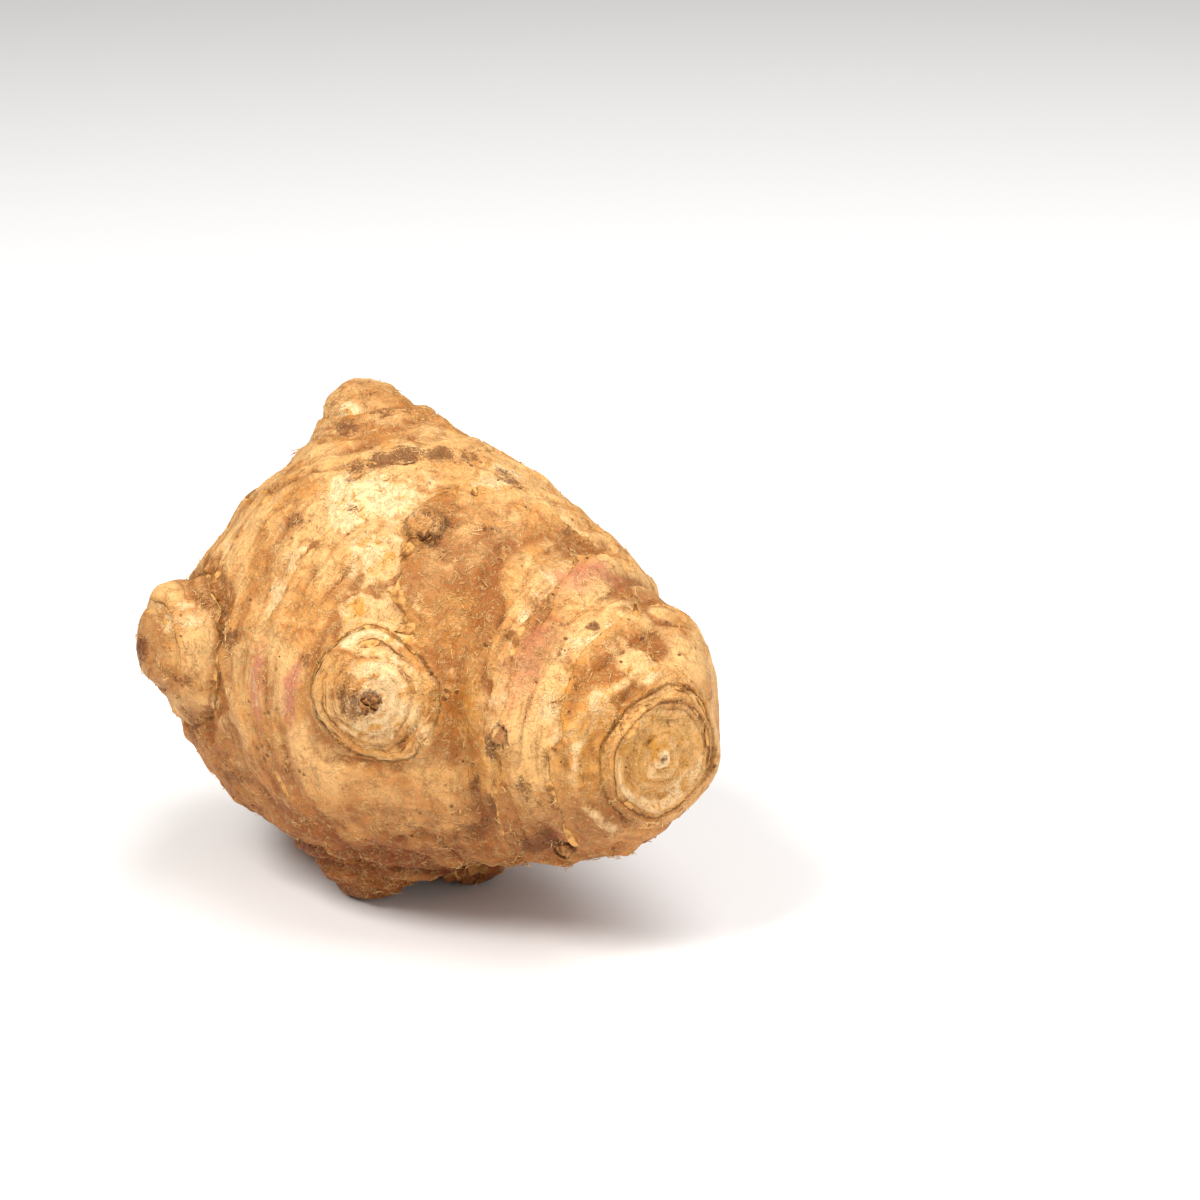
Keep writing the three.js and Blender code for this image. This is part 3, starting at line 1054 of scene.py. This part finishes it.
def skin_place(mesh, places, centre):
    """The place on the skin nearest to a centre in mm, and the way out of the skin there."""
    nearest = int(np.argmin(np.linalg.norm(places / MM - np.array(centre), axis=1)))
    return Vector(places[nearest]), Vector(mesh.vertices[nearest].normal)


def add_sheet(sheets, rows):
    """A sheet through places given row by row."""
    rows = [[sheets.verts.new(at) for at in row] for row in rows]
    for low, high in zip(rows, rows[1:]):
        for left in range(len(low) - 1):
            sheets.faces.new((low[left], low[left + 1], high[left + 1], high[left]))


def mesh_of(sheets, name):
    made = bpy.data.meshes.new(name)
    sheets.to_mesh(made)
    sheets.free()
    return made


def torn_tip_mesh(mesh):
    """Pointed sheets that leave the skin flat and curl up towards their tips, as one mesh in metres."""
    skin = points_of(mesh)
    sheets = bmesh.new()
    for tip in TORN_TIPS:
        foot, up = skin_place(mesh, skin, tip.foot)
        way = Vector(tip.way)
        way = (way - up * way.dot(up)).normalized()
        across = up.cross(way)
        start = foot - way * TIP_ROOT * MM - up * ROOTED
        rows = []
        for step in range(7):
            v = step / 6
            width = 0.5 * tip.width * (1 - v) ** 0.8 + 0.03
            rise = 0.45 * v + 0.42 * tip.length * v ** 3
            row = []
            for column in range(-3, 4):
                u = column / 3
                ripple = 0.18 * math.sin(5 * u + 4 * v + tip.foot[0]) * v - 0.35 * u * u
                forward = (tip.length + TIP_ROOT) * v - 0.5 * abs(math.sin(4 * u + tip.foot[2])) * v
                row.append(start + (across * u * width + way * forward + up * (rise + ripple)) * MM)
            rows.append(row)
        add_sheet(sheets, rows)
    return mesh_of(sheets, "torn_tips")


def bud_scale_mesh(mesh):
    """Small overlapping scales, closed over the point of each bud, as one mesh in metres."""
    skin = points_of(mesh)
    sheets = bmesh.new()
    for number, bud in enumerate(BUDS):
        if bud.tip < 0.5 or bud.tip_dark < 0.9:
            continue
        foot, up = skin_place(mesh, skin, bud.centre)
        side = up.orthogonal().normalized()
        for turn in range(SCALES):
            angle = GOLDEN_ANGLE * turn + number
            wobble = 1 + 0.25 * math.sin(5.1 * turn + 2.3 * number)
            size = bud.tip * (0.55 + 0.09 * turn) * wobble * MM
            tall = size * (1.25 - 0.05 * turn)
            out = (side * math.cos(angle) + up.cross(side) * math.sin(angle)).normalized()
            across = up.cross(out)
            start = foot - up * ROOTED + out * bud.tip * (0.14 + 0.085 * turn) * MM
            rows = []
            for step in range(5):
                v = step / 4
                width = 0.62 * size * (1 - v ** 1.8) + 0.02 * MM
                spine = start + up * v * tall + out * (0.30 * math.sin(math.pi * v) - 0.42 * v) * size
                row = []
                for column in range(-2, 3):
                    u = column / 2
                    cup = -0.22 * size * u * u * (1 - v)
                    row.append(spine + across * u * width + out * cup)
                rows.append(row)
            add_sheet(sheets, rows)
    return mesh_of(sheets, "bud_scales")


def edge_paths(mesh):
    """Lines along the free edges of the skin, with which way is out and up, and how far they lift."""
    points = points_of(mesh)
    normals = normals_of(mesh)
    values = {}
    for name in ("gap", "near", "torn"):
        values[name] = np.zeros(len(points), np.float32)
        mesh.attributes[name].data.foreach_get("value", values[name])
    ends = np.zeros(len(mesh.edges) * 2, np.int32)
    mesh.edges.foreach_get("vertices", ends)
    ends = ends.reshape(-1, 2)
    gap = values["gap"][ends]
    crossing = (gap[:, 0] * gap[:, 1] < 0) & (np.abs(gap).max(1) < 0.95)
    part = np.where(crossing, gap[:, 0] / np.where(crossing, gap[:, 0] - gap[:, 1], 1), 0.5)[:, None]
    first, second = ends.T
    where = points[first] * (1 - part) + points[second] * part
    over = normals[first] * (1 - part) + normals[second] * part
    away = (points[first] - points[second]) * np.sign(gap[:, 1] - gap[:, 0])[:, None]
    torn = (values["near"] * values["torn"])[ends].mean(1)
    face_edges = np.zeros(len(mesh.loops), np.int32)
    mesh.loops.foreach_get("edge_index", face_edges)
    face_edges = face_edges.reshape(-1, 4)
    crossed = crossing[face_edges]
    chosen = crossed.sum(1) == 2
    links = face_edges[chosen][crossed[chosen]].reshape(-1, 2)
    links = links[(torn[links] > 0.02).all(1)]
    used, links = np.unique(links, return_inverse=True)
    links = links.reshape(-1, 2)
    where, over, away, torn = where[used], over[used], away[used], torn[used]
    joined = np.bincount(links.ravel(), minlength=len(used))
    size = np.maximum(torn - 0.10, 0)[:, None]
    size[joined < 2] = 0
    for _ in range(6):
        for smoothed in (where, away, over, size):
            total = smoothed.copy()
            np.add.at(total, links[:, 0], smoothed[links[:, 1]])
            np.add.at(total, links[:, 1], smoothed[links[:, 0]])
            smoothed[:] = total / (1 + joined[:, None])
    over /= np.linalg.norm(over, axis=1)[:, None]
    away -= (away * over).sum(1)[:, None] * over
    away /= np.maximum(np.linalg.norm(away, axis=1), 1e-9)[:, None]
    ahead = where[links[:, 1]] - where[links[:, 0]]
    turned = (np.cross(over[links[:, 0]], ahead) * away[links[:, 0]]).sum(1) < 0
    links[turned] = links[turned][:, ::-1]
    lines = bpy.data.meshes.new("edge_lines")
    lines.from_pydata(where.tolist(), links.tolist(), [])
    write_attribute(lines, "size", size[:, 0])
    for name, vectors in (("outward", away), ("upward", over)):
        made = lines.attributes.new(name, "FLOAT_VECTOR", "POINT")
        made.data.foreach_set("vector", vectors.astype(np.float32).ravel())
    return lines


# ---------------------------------------------------------------- settings

# Lamps: name, place in metres, width in metres, watts and colour.
LAMPS = (
    ("key_lamp", (-0.05, -0.58, 0.80), 0.34, 8.7, (1.0, 0.99, 0.97)),
    ("fill_lamp", (0.85, -0.10, 0.42), 0.5, 2.5, (1.0, 1.0, 1.0)),
    ("top_lamp", (0.25, 0.20, 0.85), 0.7, 7.6, (1.0, 1.0, 1.0)),
)
ROOM_LIGHT = 0.20
CAMERA_AIM = Vector((14.7, 16.2, 41.2)) * MM


def number(label, text, default, **settings):
    return bpy.props.FloatProperty(name=label, description=text, default=default, **settings)


def measure(label, text, default):
    return number(label, text, default, unit="LENGTH", min=0)


def angle(label, text, degrees):
    return number(label, text, math.radians(degrees), subtype="ANGLE")


def tint(label, text, hex_code):
    return bpy.props.FloatVectorProperty(
        name=label, description=text, default=colour_of(hex_code)[:3], subtype="COLOR", size=3, min=0, max=1
    )


class ArtichokeSkin(bpy.types.PropertyGroup):
    """Sizes and colours of the skin."""

    grid: measure("Grid", "Spacing of the skin's mesh", 0.48 * MM)
    ragged: measure("Raggedness", "How far a torn edge wanders from its line", 0.85 * MM)
    tan: tint("Tan", "Main colour of the papery skin", "d0914d")
    # Straw is also the painted highlight on the ridges.
    straw: tint("Straw", "Pale skin", "eab776")
    # Umber is also the painted shade in the hollows and over the lower skin.
    umber: tint("Umber", "Brown mottling", "8a4a14")
    # Painted shade: the colour that darkens the lowest skin.
    low_shade: tint("Stain", "How damp soil tints the lowest skin", "c99a3c")
    rust: tint("Rust", "Skin just behind a free edge", "b87436")
    blush: tint("Blush", "Pink of the youngest skin", "bf7058")
    cream: tint("Cream", "Flesh where the skin has gone", "edc996")
    honey: tint("Honey", "Drier bare flesh", "d18d28")
    fibre: tint("Fibre", "Fine fibres on the skin", "f0c886")
    soil: tint("Soil", "Dried soil", "6f4224")
    # Crevice is also the painted shadow just outside the free edges and the painted shade along the
    # creases.
    crevice: tint("Crevice", "Cracks, pits and bud points", "633617")


class ArtichokeTatters(bpy.types.PropertyGroup):
    """Sizes and colours of the torn lips of skin."""

    reach: measure("Reach", "How far the largest lip stands out over the bare skin", 1.7 * MM)
    curl: measure("Curl", "How far the largest lip curls up", 1.0 * MM)
    sheet: measure("Thickness", "Thickness of the papery skin", 0.09 * MM)
    pale: tint("Pale", "Dry papery skin", "dca35c")
    brown: tint("Brown", "Browned papery skin", "8f5a2c")


class ArtichokeBuds(bpy.types.PropertyGroup):
    """Thickness and colours of the scales on the buds."""

    sheet: measure("Thickness", "Thickness of a scale", 0.12 * MM)
    dark: tint("Dark", "Dried scale", "6c4220")
    pale: tint("Pale", "Younger scale", "b57d44")


class ArtichokeFibres(bpy.types.PropertyGroup):
    """Sizes and colours of the fine dry fibres."""

    length: measure("Length", "Length of a middling fibre", 1.5 * MM)
    thickness: measure("Thickness", "Half the thickness of a fibre", 0.05 * MM)
    amount: number("Amount", "Fibres for each square metre of the hairiest skin", 400000, min=0)
    pale: tint("Pale", "Light fibre", "efc98a")
    brown: tint("Brown", "Dark fibre", "b9803f")


class ArtichokeSoil(bpy.types.PropertyGroup):
    """Size, number and colours of the soil crumbs."""

    crumb: measure("Crumb", "Half the width of the largest crumb", 0.24 * MM)
    crumbs: number("Amount", "Crumbs for each square metre of the dirtiest skin", 500000, min=0)
    dark: tint("Dark", "Dark soil", "6b3f20")
    light: tint("Light", "Light soil", "9a6736")


class ArtichokeStage(bpy.types.PropertyGroup):
    """The floor and camera; the lamps are set in LAMPS."""

    floor_size: measure("Floor", "Width of the floor", 6.0)
    floor_colour: tint("Floor colour", "Plain pale floor", "f4f3f2")
    camera_distance: measure("Camera distance", "From the camera to what it looks at", 0.45)
    azimuth: angle("Azimuth", "Camera's turn from looking along +Y", 44)
    elevation: angle("Elevation", "Camera's height above level", 20)
    lens: number("Lens", "Focal length in millimetres", 100, min=1)


# ---------------------------------------------------------------- operators

class ARTICHOKE_OT_skin(bpy.types.Operator):
    """Makes the tuber's ringed and budded skin"""

    bl_idname = "artichoke.skin"
    bl_label = "Tuber skin"

    def execute(self, context):
        look = context.scene.artichoke_skin
        points, normals, mesh = smooth_body(look.grid)
        relief = SkinRelief(points, look.ragged / MM)
        scar = add_runner_scar(relief)
        add_buds(relief)
        add_leaf_scars(relief)
        add_groove(relief)
        add_folds(relief)
        add_necks(relief)
        resting = 1 - smoothstep(*RESTING_BAND, points[:, 2])
        height = (relief.height + skin_lumps(points) * (1 - 0.7 * scar)) * (1 - 0.85 * resting)
        moved = points + normals * height[:, None]
        moved[:, 2] = np.maximum(moved[:, 2], 0)
        mesh.vertices.foreach_set("co", (moved * MM).astype(np.float32).ravel())
        mesh.update()
        soil = patches(points, SOIL_PATCHES, 65)
        caught = np.clip(0.6 * soil + 0.7 * relief.creases + 0.5 * relief.dark, 0, 1) ** 2
        lifted = np.clip(1.6 * noise(points, 2.6, 81) - 0.35, 0, 0.7)
        flap = patches(points, TORN_PATCHES, 83)
        hairy = np.clip(0.55 + 0.8 * fractal(points, 6.0, 85, 2), 0.05, 1) * (1 - 0.95 * scar)
        for name, values in {
            "gap": relief.gap,
            "near": relief.finished_near(),
            "dark": np.clip(relief.dark, 0, 1),
            "scar": scar,
            "crisp": relief.crisp,
            "cavity": np.clip(relief.cavity, -1.2, 1.2),
            "flow": relief.flow,
            "golden": np.maximum(patches(points, GOLDEN_PATCHES, 67), 0.8 * scar),
            "weathered_and_shaded": patches(points, WEATHERED_AND_SHADED_PATCHES, 69),
            "torn": np.maximum(lifted, flap * np.clip(0.8 + relief.torn, 0.3, 1.3)),
            "hairy": hairy * smoothstep(0.5, 3, points[:, 2]),
            "bare": np.maximum(patches(points, BARE_PATCHES, 61), 0.9 * relief.crest),
            "blush": patches(points, BLUSH_PATCHES, 63),
            "soil": soil,
            "crumbs": caught * (1 - 0.8 * scar),
        }.items():
            write_attribute(mesh, name, values)
        mesh.name = "tuber_skin"
        mesh.materials.clear()
        mesh.materials.append(skin_material(look))
        mesh.polygons.foreach_set("use_smooth", [True] * len(mesh.polygons))
        skin = bpy.data.objects.new("tuber_skin", mesh)
        add_piece(context, skin)
        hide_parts(NODE)
        return {"FINISHED"}


class ARTICHOKE_OT_tatters(bpy.types.Operator):
    """Makes the curled papery lips and the pointed tips along the torn edges of the skin"""

    bl_idname = "artichoke.tatters"
    bl_label = "Papery tatters"

    def execute(self, context):
        look = context.scene.artichoke_tatters
        material = small_material("papery_skin", look.pale, look.brown, 1.2, 0.7)
        skin = bpy.data.meshes["tuber_skin"]
        grown_piece(context, edge_paths(skin), tatter_tree(material, look), "papery_tatters")
        walled_piece(context, torn_tip_mesh(skin), material, look.sheet)
        return {"FINISHED"}


class ARTICHOKE_OT_buds(bpy.types.Operator):
    """Makes the closed scales on the point of each bud"""

    bl_idname = "artichoke.buds"
    bl_label = "Bud scales"

    def execute(self, context):
        look = context.scene.artichoke_buds
        mesh = bud_scale_mesh(bpy.data.meshes["tuber_skin"])
        material = small_material("bud_scale", look.dark, look.pale, 1.6, 0.6)
        walled_piece(context, mesh, material, look.sheet)
        return {"FINISHED"}


class ARTICHOKE_OT_fibres(bpy.types.Operator):
    """Scatters the fine dry fibres over the skin"""

    bl_idname = "artichoke.fibres"
    bl_label = "Root fibres"

    def execute(self, context):
        look = context.scene.artichoke_fibres
        material = small_material("dry_fibre", look.pale, look.brown, 0.8, 0.75)
        skin = bpy.data.meshes["tuber_skin"].copy()
        grown_piece(context, skin, fibre_tree(material, look), "root_fibres")
        return {"FINISHED"}


class ARTICHOKE_OT_soil(bpy.types.Operator):
    """Scatters crumbs of dried soil in the creases and on the dirty patches"""

    bl_idname = "artichoke.soil"
    bl_label = "Soil crumbs"

    def execute(self, context):
        look = context.scene.artichoke_soil
        material = small_material("dried_soil_crumb", look.dark, look.light, 2.0, 0.95)
        skin = bpy.data.meshes["tuber_skin"].copy()
        grown_piece(context, skin, crumb_tree(material, look), "soil_crumbs")
        return {"FINISHED"}


class ARTICHOKE_OT_stage(bpy.types.Operator):
    """Makes the pale floor, the soft lamps and the camera"""

    bl_idname = "artichoke.stage"
    bl_label = "Stage"

    def execute(self, context):
        stage = context.scene.artichoke_stage
        self.add_floor(context, stage)
        self.add_lamps(context)
        self.add_camera(context, stage)
        context.scene.view_settings.view_transform = "Standard"
        return {"FINISHED"}

    def add_floor(self, context, stage):
        half = stage.floor_size / 2
        corners = [(-half, -half, 0), (half, -half, 0), (half, half, 0), (-half, half, 0)]
        mesh = bpy.data.meshes.new("floor")
        mesh.from_pydata(corners, [], [(0, 1, 2, 3)])
        floor = bpy.data.objects.new("floor", mesh)
        context.scene.collection.objects.link(floor)
        material, _, shader = new_material("pale_floor")
        shader.inputs["Base Color"].default_value = (*stage.floor_colour, 1)
        shader.inputs["Roughness"].default_value = 0.6
        mesh.materials.append(material)

    def add_lamps(self, context):
        target = Vector((0, 0, 0.03))
        for name, place, size, watts, colour in LAMPS:
            light = bpy.data.lights.new(name, "AREA")
            light.size = size
            light.energy = watts
            light.color = colour
            lamp = bpy.data.objects.new(name, light)
            context.scene.collection.objects.link(lamp)
            lamp.location = place
            lamp.rotation_euler = (target - lamp.location).to_track_quat("-Z", "Y").to_euler()
        world = bpy.data.worlds.new("pale_room")
        context.scene.world = world
        world.use_nodes = True
        background = world.node_tree.nodes["Background"]
        background.inputs["Color"].default_value = (1, 1, 1, 1)
        background.inputs["Strength"].default_value = ROOM_LIGHT

    def add_camera(self, context, stage):
        turn, rise = stage.azimuth, stage.elevation
        level = math.cos(rise)
        look = Vector((-math.sin(turn) * level, math.cos(turn) * level, -math.sin(rise)))
        data = bpy.data.cameras.new("camera")
        data.lens = stage.lens
        data.sensor_width = 36
        data.clip_start = 0.01
        camera = bpy.data.objects.new("camera", data)
        context.scene.collection.objects.link(camera)
        camera.location = CAMERA_AIM - look * stage.camera_distance
        camera.rotation_euler = look.to_track_quat("-Z", "Y").to_euler()
        context.scene.camera = camera


class ARTICHOKE_PT_panel(bpy.types.Panel):
    """Lists the tuber's pieces"""

    bl_label = "Jerusalem artichoke"
    bl_idname = "ARTICHOKE_PT_panel"
    bl_space_type = "VIEW_3D"
    bl_region_type = "UI"
    bl_category = "Artichoke"

    def draw(self, context):
        for operator in PIECES:
            self.layout.operator(operator.bl_idname)


PIECES = (
    ARTICHOKE_OT_skin,
    ARTICHOKE_OT_tatters,
    ARTICHOKE_OT_buds,
    ARTICHOKE_OT_fibres,
    ARTICHOKE_OT_soil,
    ARTICHOKE_OT_stage,
)
SETTINGS = {
    "artichoke_skin": ArtichokeSkin,
    "artichoke_tatters": ArtichokeTatters,
    "artichoke_buds": ArtichokeBuds,
    "artichoke_fibres": ArtichokeFibres,
    "artichoke_soil": ArtichokeSoil,
    "artichoke_stage": ArtichokeStage,
}


def register():
    for cls in (*SETTINGS.values(), *PIECES, ARTICHOKE_PT_panel):
        bpy.utils.register_class(cls)
    for name, group in SETTINGS.items():
        setattr(bpy.types.Scene, name, bpy.props.PointerProperty(type=group))


def unregister():
    for name in SETTINGS:
        delattr(bpy.types.Scene, name)
    for cls in reversed((*SETTINGS.values(), *PIECES, ARTICHOKE_PT_panel)):
        bpy.utils.unregister_class(cls)


def main():
    register()
    bpy.ops.artichoke.skin()
    bpy.ops.artichoke.tatters()
    bpy.ops.artichoke.buds()
    bpy.ops.artichoke.fibres()
    bpy.ops.artichoke.soil()
    bpy.ops.artichoke.stage()


if __name__ == "__main__":
    main()
